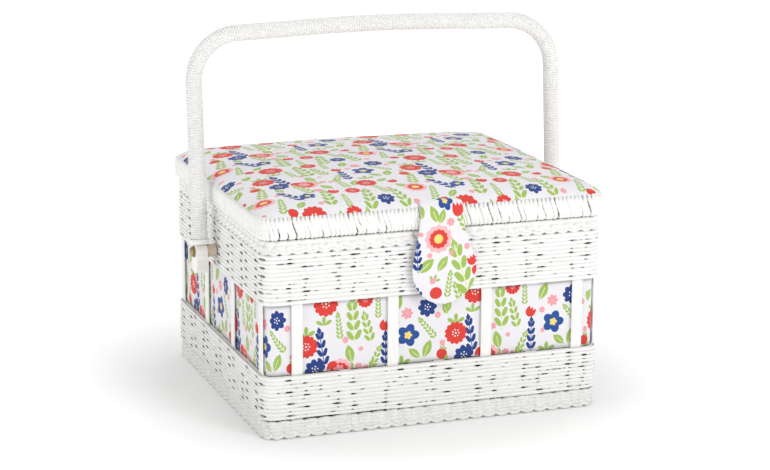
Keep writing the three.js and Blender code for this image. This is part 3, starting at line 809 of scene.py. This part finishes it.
def braid(name, low, high, depth, cords_per_strand, waves, radius, node):
    """A three-strand plait round the basket; each strand is a few cords side by side."""
    s = all_round(800)
    base, outward = BODY.at(s)
    middle = (low + high) / 2
    half = (high - low) / 2
    swing = half - radius * cords_per_strand
    cords = []
    for strand in range(3):
        phase = 2 * math.pi * (waves * s / BODY.length + strand / 3)
        for number in range(cords_per_strand):
            shift = (number - (cords_per_strand - 1) / 2) * 1.85 * radius
            point = base - outward * (depth + 1.7 * MM * np.cos(2 * phase))[:, None]
            point[:, 2] = middle + swing * np.sin(phase) + shift
            point[:, 2] += wobble(s, BODY.length, 0.08 * MM)
            cords.append(cord_skin(point, outward, radius, CORD_TWIST, True, flat=(0.85, 1.15)))
    place(joined_cords(name, cords), PAPER, "basket", "paper_cord", node)


STAKE_SECTION = np.array([(-5, -0.4), (-4.5, -0.75), (4.5, -0.75), (5, -0.4),
                          (5, 0.4), (4.5, 0.75), (-4.5, 0.75), (-5, 0.4)]) * MM


def stake_depths(z):
    """How far in a stake stands at each height: behind the cords, and further out between."""
    at_band = (z > LOWER_HIGH.z + 1 * MM) & (z < BODY_LOW.z - 1 * MM)
    padded = np.pad(np.where(at_band, STAKE_AT_BAND, STAKE_IN), 3, mode="edge")
    return np.convolve(padded, np.ones(7) / 7, mode="valid")


def stake_strip(number, low, high):
    """Vertices and faces of one flat cane stake between two heights."""
    z = np.arange(low, high, 0.8 * MM)
    point, outward = BODY.at([STAKES[number]])
    along = np.cross([0, 0, 1.0], outward[0])
    depth = stake_depths(z)
    centre = point[0] - outward[0] * depth[:, None]
    centre[:, 2] = z
    across = STAKE_SECTION[None, :, :1] * along - STAKE_SECTION[None, :, 1:] * outward[0]
    verts = centre[:, None] + across
    return (verts.reshape(-1, 3), *tube_faces(*verts.shape[:2]))


def stakes():
    """The flat upright canes. Those with a CAD node show at the band; the rest end behind it."""
    full = {}
    for node in frame["nodes"]:
        if node.startswith("stake_"):
            low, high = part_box(node)
            middle = np.array([(low.x + high.x) / 2, (low.y + high.y) / 2, 0])
            points, _ = BODY.at(STAKES)
            full[int(np.argmin(np.linalg.norm(points - middle, axis=1)))] = node
    foot = FOOT_LOW.z + 4 * MM
    for number, node in sorted(full.items()):
        strip = joined_cords(f"cane_{number + 1}", [stake_strip(number, foot, BODY_HIGH.z)])
        smooth_by_angle(strip, 40)
        place(strip, CANE, "basket", "flat_cane", node)
    rest = [number for number in range(len(STAKES)) if number not in full]
    spans = [(foot, LOWER_HIGH.z + 1 * MM), (BODY_LOW.z - 1 * MM, BODY_HIGH.z)]
    strips = [stake_strip(number, *span) for number in rest for span in spans]
    strip = joined_cords("canes_behind_band", strips)
    smooth_by_angle(strip, 40)
    place(strip, CANE, "basket", "flat_cane")


# ---------------- printed band

def printed_band():
    """The cotton band, pulled flat at the stakes and a little full between them."""
    low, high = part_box("fabric_band")
    across = np.linspace(-BODY.length / 2, BODY.length / 2, 421)[:-1]
    up = np.linspace(low.z, high.z, 13)
    base, outward = BODY.at(across)
    near = np.min(np.abs(along_from(across[:, None], STAKES)), axis=1)
    full = smoothstep((near - 4 * MM) / (16 * MM))
    verts, uv = [], []
    for z in up:
        lift = np.sin(math.pi * (z - low.z) / (high.z - low.z)) ** 0.5
        depth = BAND_DEPTH - 0.9 * MM * full * lift + wobble(across, BODY.length, 0.06 * MM)
        verts.append(np.column_stack([(base - outward * depth[:, None])[:, :2],
                                      np.full(len(across), z)]))
        uv.append(np.column_stack([across / MM, np.full(len(across), z / MM)]))
    count, rows = len(across), len(up)
    index = np.arange(count * rows).reshape(rows, count)
    seam = np.arange(rows) + count * rows
    wrapped = np.column_stack([index, seam])
    verts = np.concatenate(verts + [np.array([v[0] for v in verts])])
    uv_seam = np.array([[BODY.length / 2 / MM, u[0, 1]] for u in uv])
    uv = np.concatenate(uv + [uv_seam])
    quads = np.stack([wrapped[:-1, :-1], wrapped[:-1, 1:], wrapped[1:, 1:], wrapped[1:, :-1]], -1)
    obj = new_object("printed_band", verts, [quads.reshape(-1, 4)], uv=uv)
    solidify(obj, 0.5 * MM)
    place(obj, PRINT, "basket", "printed_cotton", "fabric_band")


def solidify(obj, thickness):
    """Give a cloth its thickness, inwards from its face."""
    modifier = obj.modifiers.new("thickness", "SOLIDIFY")
    modifier.thickness = thickness
    modifier.offset = -1.0
    bpy.context.view_layer.update()
    graph = bpy.context.evaluated_depsgraph_get()
    mesh = bpy.data.meshes.new_from_object(obj.evaluated_get(graph))
    obj.modifiers.clear()
    obj.data = mesh


# ---------------- lid

def rim_cord_path(low, high, lean, bow):
    """One cord's way over the rim as rows of (depth, height, shift along the rim)."""
    inner, bend = 12.5 * MM, 3 * MM
    path = [(depth, high, 0.0) for depth in np.linspace(inner, bend + CORD, 7)]
    for turn in np.linspace(0.2, 1.37, 5):
        path.append((CORD + bend * (1 - math.sin(turn)), high - bend * (1 - math.cos(turn)), 0))
    for share in np.linspace(0, 1, 12):
        z = high - bend + share * (low + bend - (high - bend))
        path.append((CORD, z, lean * share + bow * math.sin(math.pi * share)))
    for turn in np.linspace(0.2, 1.37, 5):
        path.append((CORD + bend * (1 - math.cos(turn)), low + bend * (1 - math.sin(turn)),
                     lean))
    path += [(depth, low, lean) for depth in np.linspace(bend + CORD, inner, 7)]
    return np.array(path)


def rim_wrap():
    """Cords wound over the lid's frame, side by side, slanting, with a few gaps."""
    low, high = LID_LOW.z + CORD - 0.4 * MM, LID_HIGH.z - CORD
    cords = []
    s = 0.0
    while s < LID.length - 3.4 * MM:
        path = rim_cord_path(low, high, rng.normal(4.6, 0.4) * MM, rng.normal(0, 0.4) * MM)
        point, outward = LID.at(s + path[:, 2])
        point = point - outward * (path[:, 0] + rng.uniform(-0.1, 0.3) * MM)[:, None]
        point[:, 2] = path[:, 1]
        along = np.cross(outward, [0, 0, 1.0])
        cords.append(cord_skin(point, along, CORD, CORD_TWIST, False, flat=(1.12, 0.9)))
        s += rng.choice([3.7, 3.9, 4.3, 4.7], p=[0.45, 0.35, 0.15, 0.05]) * MM
    place(joined_cords("lid_rim_cords", cords), PAPER, "lid", "paper_cord", "lid_rim_wrap")


CUSHION_INSET = 2.4 * MM
LID_CLOTH_START = (12, 136)


def lid_cushion():
    """The padded lid top: a crowned cloth pulled down at its edge."""
    top_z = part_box("lid_cushion")[1].z
    half_x, half_y = LID.half_x - CUSHION_INSET, LID.half_y - CUSHION_INSET
    seat = LID_HIGH.z - 0.6 * MM
    crown = top_z - seat
    columns, rows = 96, 88
    u = np.linspace(-1, 1, columns + 1)
    v = np.linspace(-1, 1, rows + 1)
    grid_u, grid_v = np.meshgrid(u, v)
    # square to rounded square, so that the corners turn with the rim
    power = 22
    shrink = (np.abs(grid_u) ** power + np.abs(grid_v) ** power) ** (1 / power)
    shrink = np.maximum(shrink, 1e-9)
    square = np.maximum(np.abs(grid_u), np.abs(grid_v))
    x = grid_u * np.where(square > 0, square / shrink, 1) * half_x
    y = grid_v * np.where(square > 0, square / shrink, 1) * half_y
    from_edge = np.minimum((1 - np.abs(grid_u)) * half_x, (1 - np.abs(grid_v)) * half_y)
    shoulder = 1 - np.exp(-from_edge / (9 * MM))
    dome = (1 - grid_u ** 2) ** 0.8 * (1 - grid_v ** 2) ** 0.8
    z = seat + crown * (0.45 * shoulder + 0.55 * dome)
    pucker = np.exp(-from_edge / (9 * MM)) * (1 - np.exp(-from_edge / (2 * MM)))
    z += pucker * 0.5 * MM * (np.sin(grid_u * half_x / MM * 0.45 + 0.6 * np.sin(grid_v * 9))
                              + np.sin(grid_v * half_y / MM * 0.41 + 0.5))
    top = np.stack([x, y, z], -1).reshape(-1, 3)
    uv = np.column_stack([x.ravel(), y.ravel()]) / MM + LID_CLOTH_START
    base = top.copy()
    base[:, 2] = seat - 0.8 * MM
    obj = new_object("lid_cushion_cloth", np.concatenate([top, base]),
                     [pad_faces(rows + 1, columns + 1)], uv=np.concatenate([uv, uv]))
    place(obj, PRINT, "lid", "printed_cotton", "lid_cushion")


# ---------------- clasp tab

TAB_HEIGHTS = np.array([112, 143, 150, 160, 178, 200, 220]) * MM
TAB_HALF_WIDTHS = np.array([30, 30, 29.3, 26.5, 21.6, 19.6, 19.4]) * MM
TAB_MIDDLES = np.array([7, 7, 7, 6, 4.2, 4.5, 4.5]) * MM
TAB_BELLY = 143 * MM
TAB_SHIFT = -2.8 * MM


def tab_line():
    """The tab's middle line as (y, z): from the cushion, over the rim and down the front."""
    low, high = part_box("clasp_tab")
    hang = (low.y + high.y) / 2
    rim = LID_HIGH.z
    return bezier_through([
        (high.y + 9 * MM, rim + 0.3 * MM), (high.y + 4 * MM, rim + 2.2 * MM),
        (high.y + 0.4 * MM, rim + 1.2 * MM), (hang + 0.4 * MM, rim - 4 * MM),
        (hang, rim - 15 * MM), (hang + 0.3 * MM, rim - 40 * MM),
        (hang + 0.2 * MM, rim - 66 * MM), (hang + 0.2 * MM, low.z)], 96)


def clasp_tab():
    """The padded tab: sewn in at the cushion's edge, over the rim and down the front."""
    low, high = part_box("clasp_tab")
    line = tab_line()
    steps = np.linalg.norm(np.diff(line, axis=0), axis=1)
    run = np.concatenate([[0], np.cumsum(steps)])
    below = low.z + run[-1] - run
    tangent = unit(np.gradient(line, axis=0))
    normal = np.column_stack([tangent[:, 1], -tangent[:, 0]])
    half = np.interp(below, TAB_HEIGHTS, TAB_HALF_WIDTHS)
    drop = np.clip((TAB_BELLY - below) / (TAB_BELLY - low.z), 0, 1)
    half = half * np.sqrt(np.maximum(1 - drop ** 2, 0.0005))
    middle = np.interp(below, TAB_HEIGHTS, TAB_MIDDLES)
    across = np.sin(np.linspace(-math.pi / 2, math.pi / 2, 33))
    edge = (1 - across ** 4) ** 0.5
    skins = {1: [], -0.7: []}
    uv = []
    for i in range(len(line)):
        fade = min(1.0, math.sqrt(max(run[-1] - run[i], 0) / (9 * MM)) + 0.04)
        x = middle[i] + across * half[i]
        for side, skin in skins.items():
            lift = side * 2.9 * MM * edge * fade
            if side > 0:
                lift = lift + 0.22 * MM * np.sin(across * 8 + run[i] / (6 * MM)) * edge
            skin.append(np.column_stack([x + TAB_SHIFT, line[i, 0] + normal[i, 0] * lift,
                                         line[i, 1] + normal[i, 1] * lift]))
        uv.append(np.column_stack([x / MM, np.full(len(across), below[i] / MM)]))
    faces = pad_faces(len(line), len(across), turned=True)
    obj = new_object("clasp_tab_cloth", np.concatenate(skins[1] + skins[-0.7]), [faces],
                     uv=np.concatenate(uv + uv))
    obj.data.materials.append(TAB_PRINT)
    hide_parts("clasp_tab", "clasp_anchor")
    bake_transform(obj)


def bezier_through(points, count):
    """A smooth line through a few points, evenly spaced."""
    points = np.array(points, float)
    ends = np.vstack([2 * points[0] - points[1], points, 2 * points[-1] - points[-2]])
    out = []
    for i in range(1, len(ends) - 2):
        p0, p1, p2, p3 = ends[i - 1:i + 3]
        for t in np.linspace(0, 1, 24, endpoint=False):
            out.append(0.5 * (2 * p1 + (p2 - p0) * t + (2 * p0 - 5 * p1 + 4 * p2 - p3) * t ** 2
                              + (3 * p1 - p0 - 3 * p2 + p3) * t ** 3))
    out.append(points[-1])
    out = np.array(out)
    run = np.concatenate([[0], np.cumsum(np.linalg.norm(np.diff(out, axis=0), axis=1))])
    even = np.linspace(0, run[-1], count)
    return np.column_stack([np.interp(even, run, out[:, k]) for k in range(out.shape[1])])


# ---------------- handle

PIVOT = Vector(next(j for j in frame["joints"] if j["name"] == "handle_swing")["pos_m"])
WRAP_RADIUS = 7.7 * MM
LEG_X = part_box("handle_wrap")[1].x - WRAP_RADIUS
LEG_FOOT = PIVOT.z + 7 * MM
BAR_CROWN = 4 * MM
BAR_TOP = 345 * MM
BAR_HEIGHT = BAR_TOP - WRAP_RADIUS - BAR_CROWN
BAR_CORNER = 42 * MM
LEAN = math.radians(5)


def handle_line(count):
    """Points and tangents along the handle's centre line, evenly spaced, and its length."""
    leg = BAR_HEIGHT - BAR_CORNER - LEG_FOOT
    corner = math.pi / 2 * BAR_CORNER
    half_bar = LEG_X - BAR_CORNER
    half = leg + corner + half_bar
    along = np.linspace(0, 2 * half, count)
    side = np.where(along < half, -1.0, 1.0)
    foot = np.where(along < half, along, 2 * half - along)
    turn = np.clip((foot - leg) / BAR_CORNER, 0, math.pi / 2)
    x = half_bar + BAR_CORNER * np.cos(turn) - np.maximum(foot - leg - corner, 0)
    z = np.where(foot < leg, LEG_FOOT + foot, BAR_HEIGHT + BAR_CORNER * (np.sin(turn) - 1))
    z = z + BAR_CROWN * np.cos(math.pi * x / (2 * LEG_X)) ** 2
    rise = z - PIVOT.z
    line = np.column_stack([side * x, rise * math.sin(LEAN), PIVOT.z + rise * math.cos(LEAN)])
    return line, unit(np.gradient(line, axis=0)), 2 * half


def handle_winding():
    """Fine cord wound round the handle, turn beside turn."""
    thread = 1.2 * MM
    pressed = (0.8, 1.2)
    turns = int(handle_line(8)[2] / (2.3 * MM))
    per_turn = 38
    line, tangent, length = handle_line(turns * per_turn)
    angle = 2 * math.pi * np.arange(len(line)) / per_turn
    backward = np.array([0, math.cos(LEAN), -math.sin(LEAN)])
    across = unit(np.cross(tangent, backward))
    radial = np.cos(angle)[:, None] * backward + np.sin(angle)[:, None] * across
    uneven = wobble(np.arange(len(line)), len(line), 0.05 * MM, waves=(31, 47, 83, 131))
    reach = WRAP_RADIUS - thread * pressed[0] + uneven
    obj = joined_cords("handle_winding",
                       [cord_skin(line + radial * reach[:, None], radial, thread, 7.2 * MM,
                                  False, flat=pressed)])
    place(obj, PAPER, "handle", "paper_cord", "handle_wrap")


# ---------------- fittings from the CAD

def softened(node, material, width, segments=2):
    """Put a copy of a hard CAD piece, with its sharp edges rounded off, in its place."""
    source = frame["nodes"][node]
    body = source["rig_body"]
    slot = next(s["material_slot"] for s in frame["record"]["subparts"] if s["node"] == node)
    mesh = bmesh.new()
    mesh.from_mesh(source.data)
    bmesh.ops.remove_doubles(mesh, verts=mesh.verts, dist=1e-6)
    bmesh.ops.dissolve_limit(mesh, angle_limit=math.radians(1), verts=mesh.verts,
                             edges=mesh.edges)
    edges = [e for e in mesh.edges
             if len(e.link_faces) == 2 and e.calc_face_angle(0) > math.radians(35)]
    bmesh.ops.bevel(mesh, geom=edges, offset=width, segments=segments, affect="EDGES",
                    profile=0.6, clamp_overlap=True)
    data = bpy.data.meshes.new(node + "_finished")
    mesh.to_mesh(data)
    mesh.free()
    obj = linked(node + "_finished", data)
    smooth_by_angle(obj, 40)
    place(obj, material, body, slot, node)


def smooth_by_angle(obj, degrees):
    mesh = bmesh.new()
    mesh.from_mesh(obj.data)
    for face in mesh.faces:
        face.smooth = True
    for edge in mesh.edges:
        edge.smooth = len(edge.link_faces) == 2 and (
            edge.calc_face_angle(0) < math.radians(degrees))
    mesh.to_mesh(obj.data)
    mesh.free()


FITTINGS = {
    "pivot_screw": (BRASS, 0.2), "pivot_washer": (BRASS, 0.15),
    "pivot_spacer": (CREAM, 0.4), "pivot_nut": (STEEL, 0.3), "hinge_": (STEEL, 0.15),
    "clasp_snap": (STEEL, 0.2), "clasp_stud": (STEEL, 0.2), "tray_rest": (WHITE_WOOD, 0.8),
    "tray_left": (TRAY, 0.5), "tray_right": (TRAY, 0.5), "handle_core": (WHITE_WOOD, 0.8),
    "handle_end_band": (CANE, 0.25), "lid_frame": (BARE_WOOD_AND_SHADE, 0.5), "lid_board": (BOARD, 0.3),
    "base_board": (BOARD, 0.4), "lining": (LINING, 0.4), "base_pad": (COTTON, 0.5),
    "lid_lining": (COTTON, 0.6), "lid_pocket": (COTTON, 0.8), "lid_pincushion": (COTTON, 0.8),
}


def finish_fittings():
    for node in sorted(frame["nodes"]):
        for prefix, (material, width) in FITTINGS.items():
            if node.startswith(prefix):
                softened(node, material, width * MM)
                break


# ---------------- studio

CAMERA_DISTANCE = 2.0871
CAMERA_LENS = 104.5


def camera():
    """A long lens from the front left, a little above the lid."""
    yaw, pitch, roll = math.radians(20.03), math.radians(13.56), math.radians(0.35)
    target = Vector((0.0038, 0, 0.1393))
    back = Vector((-math.sin(yaw) * math.cos(pitch), -math.cos(yaw) * math.cos(pitch),
                   math.sin(pitch)))
    right = (-back).cross(Vector((0, 0, 1))).normalized()
    up = right.cross(-back)
    tilted = right * math.cos(roll) + up * math.sin(roll)
    upright = up * math.cos(roll) - right * math.sin(roll)
    data = bpy.data.cameras.new("camera")
    data.sensor_width = 36
    data.lens = CAMERA_LENS
    data.clip_end = 50
    obj = linked("camera", data)
    turn = Matrix((tilted, upright, back)).transposed()
    obj.matrix_world = Matrix.Translation(target + back * CAMERA_DISTANCE) @ turn.to_4x4()
    bpy.context.scene.camera = obj


def area_light(name, spot, target, size, power):
    data = bpy.data.lights.new(name, "AREA")
    data.shape = "SQUARE"
    data.size = size
    data.energy = power
    obj = linked(name, data)
    obj.location = spot
    obj.rotation_euler = (Vector(target) - Vector(spot)).to_track_quat("-Z", "Y").to_euler()


def studio():
    """A pale floor that glows, weakly near the box as a painted shadow and more strongly further
    out, a white world and three soft lights.
    """
    mesh = bmesh.new()
    bmesh.ops.create_grid(mesh, x_segments=1, y_segments=1, size=6)
    data = bpy.data.meshes.new("floor")
    mesh.to_mesh(data)
    mesh.free()
    floor = linked("floor", data)
    material, tree, shader = new_material("floor")
    shader.inputs["Base Color"].default_value = (0.9, 0.9, 0.9, 1)
    shader.inputs["Roughness"].default_value = 0.8
    # painted light: the floor glows, less near the box to paint its shadow
    shader.inputs["Emission Color"].default_value = (1, 1, 1, 1)
    away = tree.add("ShaderNodeVectorMath", object_space(tree), operation="LENGTH")
    tree.feed(shader.inputs["Emission Strength"],
              tree.ramp(away.outputs["Value"], 0.2, 0.45, 0.09, 0.6))
    data.materials.append(material)
    world = bpy.data.worlds.new("studio")
    world.use_nodes = True
    background = world.node_tree.nodes["Background"]
    background.inputs["Color"].default_value = (1, 1, 1, 1)
    background.inputs["Strength"].default_value = 0.5
    bpy.context.scene.world = world
    area_light("key", (0.7, -2.0, 1.4), (0, 0, 0.12), 0.9, 16)
    area_light("fill", (-2.2, -0.5, 0.9), (0, 0, 0.12), 1.6, 6)
    area_light("top", (0.1, 0.3, 2.4), (0, 0, 0.1), 2.0, 17)
    bpy.context.scene.view_settings.view_transform = "Standard"


# ---------------- the whole box

camera()
studio()
woven_wall("lower_wall", LOWER_LOW.z + 0.6 * MM, LOWER_HIGH.z, 11, foot_slit, "lower_weave")
woven_wall("upper_wall", BODY_LOW.z, BODY_HIGH.z, 12, np.zeros_like, "upper_weave")
backing_rows("foot_backing", [FOOT_LOW.z + rise * MM for rise in (6, 9.5, 13)], 6.6 * MM)
backing_rows("rim_backing", [RIM_LOW.z + rise * MM for rise in (1, 4.5, 8)], 6.6 * MM)
backing_rows("rim_top_cord", [RIM_HIGH.z - CORD + 0.2 * MM], 4.4 * MM)
backing_rows("band_foot_cord", [LOWER_HIGH.z - CORD], 5.2 * MM)
braid("foot_plait", FOOT_LOW.z, FOOT_HIGH.z + 0.6 * MM, 4.2 * MM, 3, 32, 1.8 * MM, "foot_braid")
braid("rim_plait", RIM_LOW.z - 1.2 * MM, RIM_HIGH.z + 0.2 * MM, 4.1 * MM, 2, 34, 2.0 * MM,
      "rim_braid")
stakes()
printed_band()
rim_wrap()
lid_cushion()
clasp_tab()
handle_winding()
finish_fittings()
